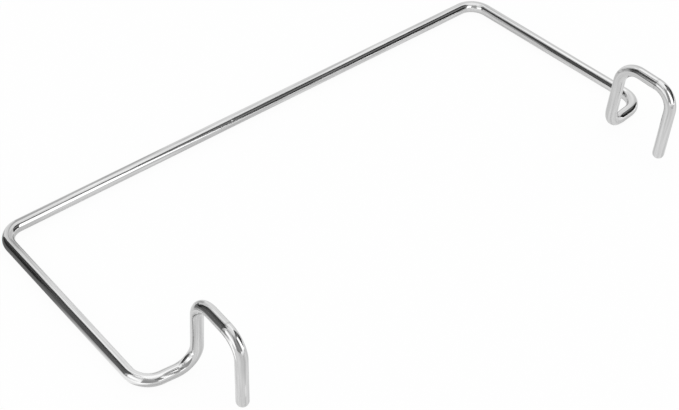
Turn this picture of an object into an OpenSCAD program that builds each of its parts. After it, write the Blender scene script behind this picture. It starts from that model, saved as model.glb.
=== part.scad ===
// Hanging rack bent from one round wire: a straight bar, an arm at each end of it, and on each arm
// a hook that jogs inward, rises, reaches forward over its support and comes down as a free leg.
// The bar, the arms and the jogs lie flat on z = 0. +X runs along the bar and +Y towards it.

/* [Wire] */
// Diameter of the round wire
wire_d = 6; // [4:0.5:8]
// Radius of every bend, at the centre line of the wire
bend_r = 10.5; // [7:0.5:12]
// How much the wire swells at a bend, added to its radius there
bend_swell = 0.01; // [0.005:0.005:0.05]

/* [Frame] */
// Length of the bar, between the centre lines of the arms where they meet it
bar_len = 305; // [160:5:600]
// Length of each arm, between the centre lines of the bar and the jog
arm_len = 115; // [60:0.5:250]
// Angle by which each arm splays outward
arm_splay = 3.5; // [0:0.5:10]
// Length of the jog that brings each hook in from its arm
jog_len = 28; // [27:0.5:60]
// Angle by which the jog turns forward from square to the arm
jog_turn = 2.5; // [0:0.5:10]

/* [Hooks] */
// Height of the hook, between the centre lines of the jog and of the top where the post meets it
post_rise = 40; // [30:0.5:90]
// Angle by which the post leans forward
post_lean = 1.5; // [0:0.5:10]
// Angle by which the post leans outward
post_splay = 2; // [0:0.5:10]
// Reach of the top of the hook, between the centre lines of the post and the leg
top_reach = 31; // [27:0.5:60]
// Angle by which the top of the hook falls towards the front
top_fall = 2.5; // [0:0.5:8]
// Height of the tip of the leg above the plane on which the frame lies
tip_height = 3.5; // [0:0.5:12]
// Angle by which the leg leans inward
leg_toe_in = 3.5; // [0:0.5:10]

/* [Hidden] */
$fn = 48;
wire_r = wire_d / 2;

// Directions at the hook on the +X side, which follow the splayed arm
up = [0, 0, 1];
forward = [sin(arm_splay), -cos(arm_splay), 0];
inward = [-cos(arm_splay), -sin(arm_splay), 0];

// How far the leg comes down, to where the dome of its tip is centred
leg_drop = post_rise - top_reach * tan(top_fall) - tip_height;

// Where the centre line would turn if every bend were sharp, from the middle of the bar to the tip
corners = path_from([0, 0, 0], [
    bar_len / 2 * [1, 0, 0],
    arm_len * forward,
    jog_len * (inward + tan(jog_turn) * forward),
    post_rise * (up + tan(post_lean) * forward - tan(post_splay) * inward),
    top_reach * (forward - tan(top_fall) * up),
    leg_drop * (-up + tan(leg_toe_in) * inward)
]);
last = len(corners) - 1;

// The bar stands as far behind the origin as the front of the hooks is before it
bar_y = -corners[last - 1].y / 2;

// How far the straight lengths run on inside the bends, which are fuller, so that they join
lap = sqrt(bend_r * bend_swell);

// The points passed when each step starts where the one before it ended
function path_from(start, steps, i = 0) =
    i == len(steps) ? [start] : concat([start], path_from(start + steps[i], steps, i + 1));

function unit(v) = v / norm(v);

// Some direction square to another
function square_to(v) = unit(cross(v, abs(v.z) < 0.5 ? up : forward));

// The direction in which the wire arrives at corner i
function heading(i) = unit(corners[i] - corners[i - 1]);

// The angle by which the wire turns at corner i, and the length of either side that the bend uses
function turn(i) = acos(heading(i) * heading(i + 1));
function bend_side(i) = i == 0 || i == last ? 0 : bend_r * tan(turn(i) / 2);

// Moves its children to a point, with +Z along one unit vector and +X along another, square to it
module facing(point, z_axis, x_axis) {
    y_axis = cross(z_axis, x_axis);
    multmatrix([
        [x_axis.x, y_axis.x, z_axis.x, point.x],
        [x_axis.y, y_axis.y, z_axis.y, point.y],
        [x_axis.z, y_axis.z, z_axis.z, point.z]
    ]) children();
}

// The domed tip of the free leg
module dome() {
    intersection() {
        sphere(r = wire_r);
        cylinder(h = wire_d, r = wire_d);
    }
}

// The straight length of wire that leads up to corner i, domed where it is the last
module straight(i) {
    from = corners[i - 1] + max(bend_side(i - 1) - lap, 0) * heading(i);
    to = corners[i] - max(bend_side(i) - lap, 0) * heading(i);
    length = norm(to - from);
    facing(from, heading(i), square_to(heading(i))) {
        cylinder(h = length, r = wire_r);
        if (i == last) translate([0, 0, length]) dome();
    }
}

// The bend at corner i, a piece of a ring that meets both straight lengths squarely
module bend(i) {
    axis = unit(cross(heading(i), heading(i + 1)));
    outward = cross(heading(i), axis);
    centre = corners[i] - bend_side(i) * heading(i) - bend_r * outward;
    facing(centre, axis, outward)
        rotate_extrude(angle = turn(i)) translate([bend_r, 0]) circle(r = wire_r + bend_swell);
}

// The wire from the middle of the bar to the tip of one leg
module half_wire() {
    for (i = [1 : last]) straight(i);
    for (i = [1 : last - 1]) bend(i);
}

module bent_wire() {
    color("silver") translate([0, bar_y, wire_r]) {
        half_wire();
        mirror([1, 0, 0]) half_wire();
    }
}

bent_wire();
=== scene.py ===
"""Hanging rack bent from one bright drawn steel wire, lying on a pale floor in a white studio.

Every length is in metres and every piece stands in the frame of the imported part: +X along the bar,
+Y towards the bar, +Z up, with the wire resting on the floor at z = 0.
"""
from __future__ import annotations

import logging
from collections.abc import Iterable
from dataclasses import dataclass, field
from enum import Enum
from math import acos, cos, pi, radians, sin, tan

import bmesh
import bpy
from mathutils import Matrix, Vector

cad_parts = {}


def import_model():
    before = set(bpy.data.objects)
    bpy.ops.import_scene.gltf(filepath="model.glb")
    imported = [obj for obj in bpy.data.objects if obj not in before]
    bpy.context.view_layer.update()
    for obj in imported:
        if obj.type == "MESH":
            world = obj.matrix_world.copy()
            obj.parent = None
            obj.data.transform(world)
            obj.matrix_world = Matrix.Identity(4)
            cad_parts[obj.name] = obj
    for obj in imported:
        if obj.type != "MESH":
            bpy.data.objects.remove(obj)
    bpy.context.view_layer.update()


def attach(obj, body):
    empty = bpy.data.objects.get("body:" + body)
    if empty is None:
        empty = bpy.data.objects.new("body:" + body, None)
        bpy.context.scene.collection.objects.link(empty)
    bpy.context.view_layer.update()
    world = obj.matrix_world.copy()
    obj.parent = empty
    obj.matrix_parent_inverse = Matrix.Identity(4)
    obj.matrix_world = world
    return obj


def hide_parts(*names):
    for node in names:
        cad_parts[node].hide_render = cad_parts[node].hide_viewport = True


log = logging.getLogger("hanging_rack")

# Attributes of the meshes: where a point was on the straight wire, with +Z along it, how hard the
# former pressed it, and how bright a card is there
STOCK = "stock"
PRESSED = "pressed"
GLOW = "glow"

# What the pressed attribute holds in a bend, and where the former left a mark
FORMED = 0.5
MARKED = 1.0

# The bend that the former marked, counted from 0 at the end of the bar
MARKED_BEND = 4

# How close to x = 0 the two halves of the wire merge
SEAM = 1e-6

# Size of the last ring of a domed tip, as a share of the wire, before it merges into one point
TIP_RING = 1e-4

# Direction in which the camera looks, in degrees from +X towards +Y
VIEW_AZIMUTH = 44.4

# Turn of the cards that lie on the floor beside the left arm, which splays outward, in degrees, and
# their height, which keeps them apart from the floor
LEFT_ARM_TURN = -3.5
FLOOR_CARD_RISE = 0.0002

# Cells along each edge of a card, for the grading of its glow
CARD_CELLS = 10


class Nodes:
    """Adds shader nodes to one material and joins them, so that a finish reads as a short recipe."""

    def __init__(self, name: str) -> None:
        """Starts an empty material.

        Args:
            name: The material's name.
        """
        self.material = bpy.data.materials.new(name)
        self.material.use_nodes = True
        self.tree = self.material.node_tree
        self.tree.nodes.clear()

    def add(self, kind: str, **settings: object) -> bpy.types.Node:
        """Adds one node.

        Args:
            kind: The node's type, without its ShaderNode prefix.
            **settings: Properties of the node to set.

        Returns:
            The new node.
        """
        node = self.tree.nodes.new("ShaderNode" + kind)
        for name, value in settings.items():
            setattr(node, name, value)
        return node

    def join(self, source: bpy.types.NodeSocket, target: bpy.types.NodeSocket) -> None:
        """Links one socket to another."""
        self.tree.links.new(source, target)

    def maths(
        self,
        operation: str,
        first: float | bpy.types.NodeSocket,
        second: float | bpy.types.NodeSocket,
    ) -> bpy.types.NodeSocket:
        """Works on two numbers.

        Args:
            operation: The Math node's operation.
            first: A number or a socket.
            second: A number or a socket.

        Returns:
            The socket with the result.
        """
        node = self.add("Math", operation=operation)
        for socket, value in zip(node.inputs, (first, second)):
            if isinstance(value, bpy.types.NodeSocket):
                self.join(value, socket)
            else:
                socket.default_value = value
        return node.outputs[0]

    def blend(
        self, first: bpy.types.NodeSocket, second: bpy.types.NodeSocket, share: float
    ) -> bpy.types.NodeSocket:
        """Mixes two patterns.

        Args:
            first: The first pattern.
            second: The second pattern.
            share: Share of the second one.

        Returns:
            The socket with the mixture.
        """
        mix = self.add("Mix", data_type="FLOAT")
        mix.inputs["Factor"].default_value = share
        self.join(first, mix.inputs["A"])
        self.join(second, mix.inputs["B"])
        return mix.outputs["Result"]

    def ramp(
        self, pattern: bpy.types.NodeSocket, low: float, high: float, dark: float, light: float
    ) -> bpy.types.NodeSocket:
        """Turns a pattern into a range of values.

        Args:
            pattern: The pattern.
            low: Where in the pattern the range starts.
            high: Where in the pattern the range ends.
            dark: Value at the start.
            light: Value at the end.

        Returns:
            The socket with the value.
        """
        reach = self.add("MapRange")
        reach.inputs["From Min"].default_value = low
        reach.inputs["From Max"].default_value = high
        reach.inputs["To Min"].default_value = dark
        reach.inputs["To Max"].default_value = light
        self.join(pattern, reach.inputs["Value"])
        return reach.outputs["Result"]

    def finish(self, shader: bpy.types.NodeSocket) -> bpy.types.Material:
        """Joins the shader to the output and gives the material back."""
        self.join(shader, self.add("OutputMaterial").inputs["Surface"])
        return self.material


@dataclass(frozen=True)
class DrawnLines:
    """A pattern of lines along the wire, with their width, their length and their detail."""

    pitch: float
    length: float
    detail: float

    def pattern(self, nodes: Nodes, stock: bpy.types.NodeSocket) -> bpy.types.NodeSocket:
        """Makes the pattern.

        Args:
            nodes: The material's nodes.
            stock: The socket with the stock coordinates.

        Returns:
            The socket with the pattern, from 0 to 1.
        """
        stretch = nodes.add("Mapping")
        stretch.inputs["Scale"].default_value = (1 / self.pitch, 1 / self.pitch, 1 / self.length)
        nodes.join(stock, stretch.inputs["Vector"])
        noise = nodes.add("TexNoise")
        noise.inputs["Scale"].default_value = 1
        noise.inputs["Detail"].default_value = self.detail
        nodes.join(stretch.outputs["Vector"], noise.inputs["Vector"])
        return noise.outputs["Fac"]


@dataclass(frozen=True)
class Scuff:
    """A small worn place on the wire, in stock coordinates, with its half width and half length."""

    place: tuple[float, float, float]
    across: float
    along: float
    core: float = 0.5

    def pattern(
        self, nodes: Nodes, stock: bpy.types.NodeSocket, depth: float
    ) -> bpy.types.NodeSocket:
        """Makes the scuff's pattern, which is even in its core and fades towards its edge.

        Args:
            nodes: The material's nodes.
            stock: The socket with the stock coordinates.
            depth: Value in the core.

        Returns:
            The socket with the pattern.
        """
        away = nodes.add("VectorMath", operation="SUBTRACT")
        nodes.join(stock, away.inputs[0])
        away.inputs[1].default_value = self.place
        spread = nodes.add("VectorMath", operation="DIVIDE")
        nodes.join(away.outputs["Vector"], spread.inputs[0])
        spread.inputs[1].default_value = (self.across, self.across, self.along)
        far = nodes.add("VectorMath", operation="LENGTH")
        nodes.join(spread.outputs["Vector"], far.inputs[0])
        return nodes.ramp(far.outputs["Value"], self.core, 1.0, depth, 0.0)


@dataclass(frozen=True)
class DrawnSteel:
    """Bright steel wire, with the fine lines along it that the drawing die left."""

    grey: float = 0.60
    tone_spread: float = 0.2
    tone_range: tuple[float, float] = (0.40, 0.60)
    roughness: float = 0.085
    gloss_spread: tuple[float, float] = (-0.03, 0.05)
    gloss_range: tuple[float, float] = (0.25, 0.75)
    bands: DrawnLines = DrawnLines(0.0021, 0.07, 1)
    lines: DrawnLines = DrawnLines(0.0008, 0.03, 2)
    scratches: DrawnLines = DrawnLines(0.00022, 0.011, 2)
    line_share: float = 0.4
    scratch_share: float = 0.25
    relief_share: float = 0.3
    relief_strength: float = 0.2
    relief_height: float = 0.0001
    bend_dulling: float = 0.02
    mark_edge: float = 0.6
    mark_darkening: float = 0.25
    scuffs: tuple[Scuff, ...] = (
        Scuff((-0.0022, -0.00202, -0.0180), 0.0005, 0.0008),
        Scuff((-0.0007, -0.0029, -0.3710), 0.0004, 0.0050),
    )
    scuff_dulling: float = 0.3
    scuff_paling: float = 0.3

    def material(self) -> bpy.types.Material:
        """Makes the finish, which follows the wire's stock coordinates and so its bends.

        Returns:
            The material.
        """
        nodes = Nodes("bright_drawn_steel")
        metal = nodes.add("BsdfPrincipled")
        metal.inputs["Metallic"].default_value = 1
        stock = nodes.add("Attribute", attribute_name=STOCK).outputs["Vector"]
        pressed = nodes.add("Attribute", attribute_name=PRESSED).outputs["Fac"]
        bands = self.bands.pattern(nodes, stock)
        lines = self.lines.pattern(nodes, stock)
        scratches = self.scratches.pattern(nodes, stock)
        worn = self.worn(nodes, stock)
        tone = nodes.blend(nodes.blend(bands, lines, self.line_share), scratches, self.scratch_share)
        dark = self.grey * (1 - self.tone_spread)
        light = self.grey * (1 + self.tone_spread)
        grey = nodes.ramp(tone, *self.tone_range, dark, light)
        marked = nodes.ramp(pressed, self.mark_edge, MARKED, 1.0, 1 - self.mark_darkening)
        grey = nodes.maths("MULTIPLY", grey, marked)
        pale = nodes.ramp(worn, 0.0, self.scuff_dulling, 1.0, 1 + self.scuff_paling)
        nodes.join(nodes.maths("MULTIPLY", grey, pale), metal.inputs["Base Color"])
        bright, dull = (self.roughness + spread for spread in self.gloss_spread)
        gloss = nodes.ramp(scratches, *self.gloss_range, bright, dull)
        gloss = nodes.maths("ADD", gloss, nodes.maths("MULTIPLY", pressed, self.bend_dulling))
        nodes.join(nodes.maths("ADD", gloss, worn), metal.inputs["Roughness"])
        bump = nodes.add("Bump")
        bump.inputs["Strength"].default_value = self.relief_strength
        bump.inputs["Distance"].default_value = self.relief_height
        nodes.join(nodes.blend(lines, scratches, self.relief_share), bump.inputs["Height"])
        nodes.join(bump.outputs["Normal"], metal.inputs["Normal"])
        return nodes.finish(metal.outputs["BSDF"])

    def worn(self, nodes: Nodes, stock: bpy.types.NodeSocket) -> bpy.types.NodeSocket:
        """Adds all the scuffs up.

        Args:
            nodes: The material's nodes.
            stock: The socket with the stock coordinates.

        Returns:
            The socket with what they add to the roughness.
        """
        worn = self.scuffs[0].pattern(nodes, stock, self.scuff_dulling)
        for scuff in self.scuffs[1:]:
            worn = nodes.maths("ADD", worn, scuff.pattern(nodes, stock, self.scuff_dulling))
        return worn


class WireBender:
    """Feeds round wire forward and bends it, growing one tube from a ring of vertices."""

    def __init__(self, radius: float, sides: int) -> None:
        """Starts the wire as a ring at the origin that faces +Z.

        Args:
            radius: Radius of the wire.
            sides: Number of vertices around it.
        """
        self.radius = radius
        self.mesh = bmesh.new()
        self.stock = self.mesh.verts.layers.float_vector.new(STOCK)
        self.pressed = self.mesh.verts.layers.float.new(PRESSED)
        ring = bmesh.ops.create_circle(self.mesh, cap_ends=False, radius=radius, segments=sides)
        self.end = ring["verts"]
        for vert in self.end:
            vert[self.stock] = vert.co

    def aim(self, place: Matrix) -> None:
        """Moves the starting ring to where the wire begins."""
        bmesh.ops.transform(self.mesh, matrix=place, verts=self.end)

    def grow(self, fed: float) -> None:
        """Adds a ring on the open end, still in the same place.

        Args:
            fed: Length of wire between the old ring and the new one.
        """
        edges = {edge for vert in self.end for edge in vert.link_edges}
        rim = [edge for edge in edges if edge.is_boundary or edge.is_wire]
        grown = bmesh.ops.extrude_edge_only(self.mesh, edges=rim)
        self.end = [part for part in grown["geom"] if isinstance(part, bmesh.types.BMVert)]
        for vert in self.end:
            vert[self.stock] = vert[self.stock] + Vector((0, 0, fed))
            vert[self.pressed] = 0

    def feed(self, travel: Vector, step: float) -> None:
        """Pushes the open end straight on.

        Args:
            travel: How far it moves.
            step: Greatest distance between two rings.
        """
        count = max(1, round(travel.length / step))
        for _ in range(count):
            self.grow(travel.length / count)
            bmesh.ops.translate(self.mesh, verts=self.end, vec=travel / count)

    def bend(self, centre: Vector, axis: Vector, angle: float, length: float, count: int) -> None:
        """Turns the open end round a former.

        Args:
            centre: Centre of the bend.
            axis: Axis of the turn.
            angle: Angle of the turn.
            length: Length of the centre line in the bend.
            count: Number of rings.
        """
        for _ in range(count):
            self.grow(length / count)
            turn = Matrix.Rotation(angle / count, 3, axis)
            bmesh.ops.rotate(self.mesh, verts=self.end, cent=centre, matrix=turn)
            self.press(FORMED)

    def press(self, share: float) -> None:
        """Marks the open end as pressed by the former, from 0 to 1."""
        for vert in self.end:
            vert[self.pressed] = share

    def dome(self, heading: Vector, count: int) -> None:
        """Closes the open end with a round tip.

        Args:
            heading: Direction in which the tip points.
            count: Number of rings.
        """
        for ring in range(1, count + 1):
            low = pi / 2 * (ring - 1) / count
            high = pi / 2 * ring / count
            rise = self.radius * (sin(high) - sin(low))
            self.grow(rise)
            middle = sum((vert.co for vert in self.end), Vector()) / len(self.end)
            shrink = max(cos(high), TIP_RING) / cos(low)
            space = Matrix.Translation(-middle)
            bmesh.ops.scale(self.mesh, vec=Vector((1, 1, 1)) * shrink, space=space, verts=self.end)
            bmesh.ops.translate(self.mesh, verts=self.end, vec=heading * rise)
        middle = sum((vert.co for vert in self.end), Vector()) / len(self.end)
        bmesh.ops.pointmerge(self.mesh, verts=self.end, merge_co=middle)

    def mirror_half(self) -> None:
        """Adds the other half of the wire across x = 0 and closes the seam between them."""
        every = self.mesh.verts[:] + self.mesh.edges[:] + self.mesh.faces[:]
        bmesh.ops.mirror(self.mesh, geom=every, merge_dist=SEAM, axis="X")
        for vert in self.mesh.verts:
            if vert.co.x < -SEAM:
                across = vert[self.stock]
                vert[self.stock] = Vector((across.x, across.y, -across.z))
        self.mesh.verts.index_update()
        self.mesh.edges.sort(key=self.rank)
        self.mesh.faces.sort(key=self.rank)
        bmesh.ops.recalc_face_normals(self.mesh, faces=self.mesh.faces)

    def rank(self, part: bmesh.types.BMEdge | bmesh.types.BMFace) -> int:
        """Ranks an edge or a face by its vertices, so that every run gives the same mesh.

        The operator that grows the wire keeps its vertices in order, but not its edges and faces.

        Args:
            part: The edge or the face.

        Returns:
            A number that grows with its lowest two vertices and its highest.
        """
        order = sorted(vert.index for vert in part.verts)
        count = len(self.mesh.verts)
        return (order[0] * count + order[1]) * count + order[-1]


@dataclass
class BentWire:
    """The whole rack: bar, arms, jogs, posts, hook tops and free legs, in one length of wire.

    Its sizes are those of the solid. The clearance is how far its surface lies inside the solid's.
    """

    wire_diameter: float = 0.006
    clearance: float = 0.000015
    bend_radius: float = 0.0105
    bar_length: float = 0.305
    arm_length: float = 0.115
    arm_splay: float = 3.5
    jog_length: float = 0.028
    jog_turn: float = 2.5
    post_rise: float = 0.040
    post_lean: float = 1.5
    post_splay: float = 2.0
    top_reach: float = 0.031
    top_fall: float = 2.5
    tip_height: float = 0.0035
    leg_toe_in: float = 3.5
    sides: int = 64
    ring_step: float = 0.002
    bend_rings: int = 24
    tip_rings: int = 14
    steel: DrawnSteel = field(default_factory=DrawnSteel)

    def corners(self) -> list[Vector]:
        """Works out where the centre line would turn if every bend were sharp.

        Returns:
            The points from the middle of the bar to the tip of the leg on the +X side.
        """
        splay = radians(self.arm_splay)
        rise = Vector((0, 0, 1))
        forward = Vector((sin(splay), -cos(splay), 0))
        inward = Vector((-cos(splay), -sin(splay), 0))
        fall = tan(radians(self.top_fall))
        drop = self.post_rise - self.top_reach * fall - self.tip_height
        lean = tan(radians(self.post_lean)) * forward - tan(radians(self.post_splay)) * inward
        steps = (
            Vector((self.bar_length / 2, 0, 0)),
            self.arm_length * forward,
            self.jog_length * (inward + tan(radians(self.jog_turn)) * forward),
            self.post_rise * (rise + lean),
            self.top_reach * (forward - fall * rise),
            drop * (tan(radians(self.leg_toe_in)) * inward - rise),
        )
        points = [Vector()]
        for step in steps:
            points.append(points[-1] + step)
        front = points[-2].y
        start = Vector((0, -front / 2, self.wire_diameter / 2))
        return [point + start for point in points]

    def bend_half(self) -> WireBender:
        """Bends the wire from the middle of the bar to the tip of one leg.

        Returns:
            The bender with the finished half in it.
        """
        points = self.corners()
        headings = [(b - a).normalized() for a, b in zip(points, points[1:])]
        bender = WireBender(self.wire_diameter / 2 - self.clearance, self.sides)
        bender.aim(Matrix.Translation(points[0]) @ Matrix.Rotation(pi / 2, 4, "Y"))
        here = points[0]
        turns = zip(points[1:], headings, headings[1:])
        for number, (corner, heading, next_heading) in enumerate(turns):
            angle = acos(heading.dot(next_heading))
            side = self.bend_radius * tan(angle / 2)
            bender.feed(corner - side * heading - here, self.ring_step)
            axis = heading.cross(next_heading).normalized()
            centre = corner - side * heading + self.bend_radius * axis.cross(heading)
            if number == MARKED_BEND:
                bender.press(MARKED)
            bender.bend(centre, axis, angle, self.bend_radius * angle, self.bend_rings)
            here = corner + side * next_heading
        bender.feed(points[-1] - here, self.ring_step)
        bender.dome(headings[-1], self.tip_rings)
        return bender

    def build(self) -> bpy.types.Object:
        """Makes the whole wire, dresses it and puts it in the place of its plain solid.

        Returns:
            The finished object.
        """
        bender = self.bend_half()
        bender.mirror_half()
        mesh = bpy.data.meshes.new("bent_wire_smooth")
        bender.mesh.to_mesh(mesh)
        bender.mesh.free()
        mesh.shade_smooth()
        mesh.materials.append(self.steel.material())
        wire = bpy.data.objects.new("bent_wire_smooth", mesh)
        bpy.context.scene.collection.objects.link(wire)
        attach(wire, "root")
        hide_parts("bent_wire")
        log.info("%s: %d faces", wire.name, len(mesh.polygons))
        return wire


class Lay(Enum):
    """How a card is held in the studio."""

    UPRIGHT = "upright"
    FLAT = "flat"


@dataclass(frozen=True)
class Glow:
    """How bright a card is at its four corners, as a share of white.

    Right and left are as seen from the origin. On a flat card, the right is the edge towards -Y, the
    left is the one towards +Y, and the low edge is the one towards +X.
    """

    low_right: float
    low_left: float
    high_right: float
    high_left: float

    @classmethod
    def even(cls, share: float) -> Glow:
        """Makes a card equally bright all over."""
        return cls(share, share, share, share)

    def at(self, across: float, up: float) -> float:
        """Works out the brightness inside the card.

        Args:
            across: Place across the card, from 0 at the right to 1 at the left.
            up: Place up the card, from 0 at the bottom to 1 at the top.

        Returns:
            The brightness there.
        """
        low = self.low_right + (self.low_left - self.low_right) * across
        high = self.high_right + (self.high_left - self.high_right) * across
        return low + (high - low) * up


@dataclass(frozen=True)
class Card:
    """A card or a soft box that only the wire's reflections show.

    An upright one is given by the angles at which the origin sees it, in degrees to the left of the
    camera's line and up from the floor, and by its distance. A flat one is given by its edges along
    X and Y, its height and its turn about the origin.
    """

    name: str
    sides: tuple[float, float]
    ends: tuple[float, float]
    reach: float
    glow: Glow
    lay: Lay = Lay.UPRIGHT
    turn: float = 0.0

    def upright_place(self) -> Matrix:
        """Works out where an upright card stands, square to the line from the origin.

        Returns:
            The place for a card of one by one.
        """
        right, left = self.sides
        low, high = (self.reach * tan(radians(end)) for end in self.ends)
        width = 2 * self.reach * tan(radians(left - right) / 2)
        return (
            Matrix.Rotation(radians(VIEW_AZIMUTH + (right + left) / 2), 4, "Z")
            @ Matrix.Translation((self.reach, 0, (low + high) / 2))
            @ Matrix.Rotation(pi / 2, 4, "Y")
            @ Matrix.Diagonal((high - low, width, 1, 1))
        )

    def flat_place(self) -> Matrix:
        """Works out where a flat card lies or hangs.

        Returns:
            The place for a card of one by one.
        """
        (left, right), (near, far) = self.sides, self.ends
        return (
            Matrix.Rotation(radians(self.turn), 4, "Z")
            @ Matrix.Translation(((left + right) / 2, (near + far) / 2, self.reach))
            @ Matrix.Diagonal((right - left, far - near, 1, 1))
        )

    def build(self) -> bpy.types.Object:
        """Makes the card.

        Returns:
            The card.
        """
        # A card of one by one, of which the edge towards +X becomes the low one
        shape = bmesh.new()
        bmesh.ops.create_grid(shape, x_segments=CARD_CELLS, y_segments=CARD_CELLS, size=0.5)
        glow = shape.verts.layers.float.new(GLOW)
        for vert in shape.verts:
            vert[glow] = self.glow.at(vert.co.y + 0.5, 0.5 - vert.co.x)
        place = self.upright_place() if self.lay is Lay.UPRIGHT else self.flat_place()
        bmesh.ops.transform(shape, matrix=place, verts=shape.verts)
        return stage_piece(self.name, shape, self.material(), hidden=True)

    def material(self) -> bpy.types.Material:
        """Makes the card's glow, graded from corner to corner.

        Returns:
            The material.
        """
        nodes = Nodes(self.name)
        light = nodes.add("Emission")
        grade = nodes.add("Attribute", attribute_name=GLOW)
        nodes.join(grade.outputs["Fac"], light.inputs["Strength"])
        return nodes.finish(light.outputs["Emission"])


def stage_piece(
    name: str, shape: bmesh.types.BMesh, material: bpy.types.Material, hidden: bool
) -> bpy.types.Object:
    """Turns a shape into a piece of the studio, which isn't part of the rack.

    Args:
        name: The piece's name.
        shape: Its mesh, which is freed.
        material: Its material.
        hidden: Whether only reflections show it.

    Returns:
        The piece.
    """
    mesh = bpy.data.meshes.new(name)
    shape.to_mesh(mesh)
    shape.free()
    mesh.materials.append(material)
    piece = bpy.data.objects.new(name, mesh)
    bpy.context.scene.collection.objects.link(piece)
    if hidden:
        piece.visible_camera = False
        piece.visible_diffuse = False
        piece.visible_shadow = False
    log.info("%s: %d faces", name, len(mesh.polygons))
    return piece


# The studio, as the reflections in the photographed wire show it
CARDS = (
    Card("left_flag", (72.8, 117.3), (0.1, 63.2), 0.493, Glow(0.03, 0.18, 0.02, 0.11)),
    Card("left_box", (66.1, 169.3), (0.1, 71.8), 1.683, Glow(0.25, 1.81, 0.47, 1.90)),
    Card("left_back_box", (119.9, 164.3), (17.2, 59.0), 0.839, Glow(2.17, 1.61, 0.02, 0.49)),
    Card("left_near_box", (98.1, 122.3), (1.8, 49.5), 0.668, Glow(1.63, 0.02, 2.20, 1.48)),
    Card("left_high_card", (35.4, 74.2), (48.6, 78.3), 0.785, Glow(1.53, 0.58, 0.39, 0.04)),
    Card("top_card", (-0.987, 3.475), (-1.477, 2.072), 3.4428, Glow.even(1.33), Lay.FLAT),
    Card(
        name="left_floor_card",
        sides=(-1.7, -0.159),
        ends=(0.018, 2.0),
        reach=FLOOR_CARD_RISE,
        glow=Glow(0.20, 0.10, 0.20, 0.20),
        lay=Lay.FLAT,
        turn=LEFT_ARM_TURN,
    ),
    Card(
        name="left_floor_fade",
        sides=(-1.7, -0.159),
        ends=(-0.070, 0.018),
        reach=FLOOR_CARD_RISE,
        glow=Glow(1.90, 0.20, 1.90, 0.20),
        lay=Lay.FLAT,
        turn=LEFT_ARM_TURN,
    ),
    Card("right_wall", (-102.8, -53.6), (4.5, 60.0), 0.982, Glow(0.00, 0.00, 0.34, 0.02)),
    Card("right_wall_seam", (-102.8, -53.6), (31.0, 43.0), 0.978, Glow.even(0.28)),
    Card("right_wall_top", (-150.0, -44.3), (0.1, 62.5), 1.520, Glow(0.60, 0.14, 0.10, 0.08)),
    Card("right_wall_foot", (-102.8, -53.6), (0.2, 4.5), 0.980, Glow.even(1.90)),
    Card("right_box", (-139.2, -101.8), (6.0, 54.5), 0.440, Glow(1.75, 1.85, 1.60, 2.30)),
    Card("right_arm_foot", (45.6, 84.6), (0.1, 31.0), 0.175, Glow.even(0.62)),
    Card("camera_side_card", (115.0, 223.9), (0.1, 79.6), 2.433, Glow(0.33, 0.44, 0.22, 1.35)),
    Card("camera_side_strip", (194.5, 253.3), (0.1, 12.9), 0.290, Glow(0.95, 0.42, 2.28, 0.73)),
    Card("left_foot", (91.9, 111.0), (0.6, 15.9), 0.254, Glow(0.03, 0.03, 0.07, 0.01)),
)


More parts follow.
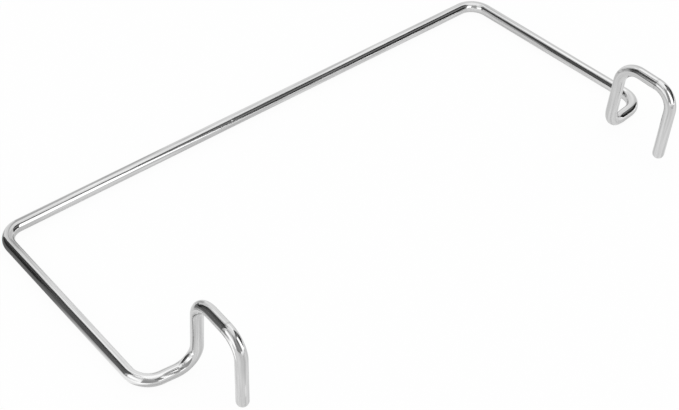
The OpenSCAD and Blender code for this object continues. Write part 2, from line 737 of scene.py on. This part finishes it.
@dataclass
class Studio:
    """The white floor, the plain light round it and the cards that the wire reflects.

    The floor is painted, and for the camera and the wire's reflections a share of it glows white.
    """

    floor_size: float = 12.0
    floor_grey: float = 0.9
    seen_glow: float = 0.94
    mirrored_glow: float = 0.5
    sky: float = 1.0
    cards: tuple[Card, ...] = CARDS

    def build_floor(self) -> bpy.types.Object:
        """Makes the pale floor, which keeps the rack's shadow.

        Returns:
            The floor.
        """
        shape = bmesh.new()
        bmesh.ops.create_grid(shape, x_segments=1, y_segments=1, size=self.floor_size / 2)
        nodes = Nodes("white_floor")
        paint = nodes.add("BsdfDiffuse")
        paint.inputs["Color"].default_value = (self.floor_grey, self.floor_grey, self.floor_grey, 1)
        white = nodes.add("Emission")
        rays = nodes.add("LightPath")
        seen = nodes.maths("MULTIPLY", rays.outputs["Is Camera Ray"], self.seen_glow)
        mirrored = nodes.maths("MULTIPLY", rays.outputs["Is Glossy Ray"], self.mirrored_glow)
        share = nodes.maths("MAXIMUM", seen, mirrored)
        mixed = nodes.add("MixShader")
        nodes.join(share, mixed.inputs["Fac"])
        nodes.join(paint.outputs["BSDF"], mixed.inputs[1])
        nodes.join(white.outputs["Emission"], mixed.inputs[2])
        return stage_piece("floor", shape, nodes.finish(mixed.outputs["Shader"]), hidden=False)

    def build_world(self) -> None:
        """Makes the even white light round the rack."""
        world = bpy.data.worlds.new("white_studio")
        world.use_nodes = True
        background = world.node_tree.nodes["Background"]
        background.inputs["Color"].default_value = (1, 1, 1, 1)
        background.inputs["Strength"].default_value = self.sky
        bpy.context.scene.world = world

    def build(self) -> None:
        """Sets the whole studio up."""
        self.build_world()
        self.build_floor()
        for card in self.cards:
            card.build()
        log.info("studio: %d cards", len(self.cards))


@dataclass(frozen=True)
class Viewpoint:
    """The camera, where the photograph was taken from, with its right and down directions."""

    place: tuple[float, float, float] = (-0.479834, -0.469737, 0.581996)
    right: tuple[float, float, float] = (0.745205, -0.663723, 0.064357)
    down: tuple[float, float, float] = (-0.404747, -0.526904, -0.747363)
    lens: float = 98.197
    sensor_width: float = 36.0
    nearest: float = 0.01
    farthest: float = 50.0

    def build(self) -> bpy.types.Object:
        """Makes the camera and sets the scene to it.

        Returns:
            The camera.
        """
        data = bpy.data.cameras.new("camera")
        data.lens = self.lens
        data.sensor_fit = "HORIZONTAL"
        data.sensor_width = self.sensor_width
        data.clip_start = self.nearest
        data.clip_end = self.farthest
        camera = bpy.data.objects.new("camera", data)
        right = Vector(self.right).normalized()
        up = -Vector(self.down).normalized()
        back = right.cross(up)
        turn = Matrix((right, up, back)).transposed().to_4x4()
        camera.matrix_world = Matrix.Translation(self.place) @ turn
        bpy.context.scene.collection.objects.link(camera)
        bpy.context.scene.camera = camera
        return camera


def main() -> None:
    """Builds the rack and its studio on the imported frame."""
    logging.basicConfig(level=logging.INFO, format="%(message)s")
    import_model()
    bpy.context.scene.view_settings.view_transform = "Standard"
    BentWire().build()
    Studio().build()
    Viewpoint().build()


if __name__ == "__main__":
    main()
